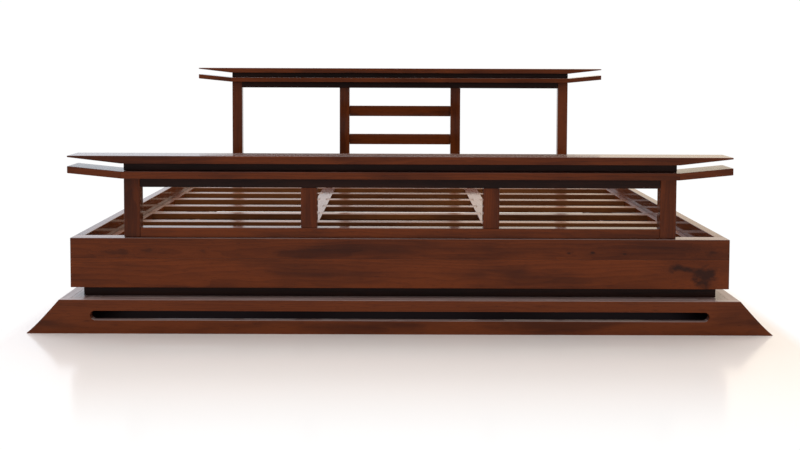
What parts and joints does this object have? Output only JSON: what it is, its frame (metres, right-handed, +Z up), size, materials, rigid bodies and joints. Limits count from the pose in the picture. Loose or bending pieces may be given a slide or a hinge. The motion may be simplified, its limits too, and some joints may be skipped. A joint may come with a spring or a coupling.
{
  "type": "platform bed frame",
  "caption": "Low dark hardwood platform bed on a flared, slotted plinth, with a slatted deck between deep rails and a low footboard and taller headboard under winged double caps.",
  "frame": {"origin": "on the floor, under the middle of the bed", "axes": "+Z up, +Y along the bed from the footboard to the headboard, +X to the right seen from the foot"},
  "size_m": [2.112, 2.172, 0.7386],
  "materials": {
    "lacquered_hardwood": "dark red-brown stained hardwood under clear gloss lacquer",
    "dark_stained_hardwood": "near-black stained hardwood, satin",
    "lacquered_slat_wood": "red-brown stained hardwood under satin lacquer"
  },
  "bodies": {
    "root": {"base_front_board": "lacquered_hardwood", "base_rear_board": "lacquered_hardwood", "base_skirt_left": "lacquered_hardwood", "base_skirt_right": "lacquered_hardwood", "riser_frame": "dark_stained_hardwood", "foot_rail": "lacquered_hardwood", "head_rail": "lacquered_hardwood", "side_rail_left": "lacquered_hardwood", "side_rail_right": "lacquered_hardwood", "ledger_left": "lacquered_hardwood", "ledger_right": "lacquered_hardwood", "beam_left": "lacquered_hardwood", "beam_right": "lacquered_hardwood", "slat_1_left": "lacquered_slat_wood", "slat_1_centre": "lacquered_slat_wood", "slat_1_right": "lacquered_slat_wood", "slat_2_left": "lacquered_slat_wood", "slat_2_centre": "lacquered_slat_wood", "slat_2_right": "lacquered_slat_wood", "slat_3_left": "lacquered_slat_wood", "slat_3_centre": "lacquered_slat_wood", "slat_3_right": "lacquered_slat_wood", "slat_4_left": "lacquered_slat_wood", "slat_4_centre": "lacquered_slat_wood", "slat_4_right": "lacquered_slat_wood", "slat_5_left": "lacquered_slat_wood", "slat_5_centre": "lacquered_slat_wood", "slat_5_right": "lacquered_slat_wood", "slat_6_left": "lacquered_slat_wood", "slat_6_centre": "lacquered_slat_wood", "slat_6_right": "lacquered_slat_wood", "slat_7_left": "lacquered_slat_wood", "slat_7_centre": "lacquered_slat_wood", "slat_7_right": "lacquered_slat_wood", "slat_8_left": "lacquered_slat_wood", "slat_8_centre": "lacquered_slat_wood", "slat_8_right": "lacquered_slat_wood", "slat_9_left": "lacquered_slat_wood", "slat_9_centre": "lacquered_slat_wood", "slat_9_right": "lacquered_slat_wood", "footboard_bottom_rail": "lacquered_hardwood", "footboard_outer_post_left": "lacquered_hardwood", "footboard_outer_post_right": "lacquered_hardwood", "footboard_middle_post_left": "lacquered_hardwood", "footboard_middle_post_right": "lacquered_hardwood", "footboard_top_rail": "dark_stained_hardwood", "footboard_lower_cap": "lacquered_hardwood", "footboard_spacer": "dark_stained_hardwood", "footboard_top_cap": "lacquered_hardwood", "headboard_bottom_rail": "lacquered_hardwood", "headboard_outer_post_left": "lacquered_hardwood", "headboard_outer_post_right": "lacquered_hardwood", "headboard_middle_post_left": "lacquered_hardwood", "headboard_middle_post_right": "lacquered_hardwood", "headboard_back_slat_1": "lacquered_hardwood", "headboard_back_slat_2": "lacquered_hardwood", "headboard_top_rail": "dark_stained_hardwood", "headboard_lower_cap": "lacquered_hardwood", "headboard_spacer": "dark_stained_hardwood", "headboard_top_cap": "lacquered_hardwood"}
  },
  "joints": []
}
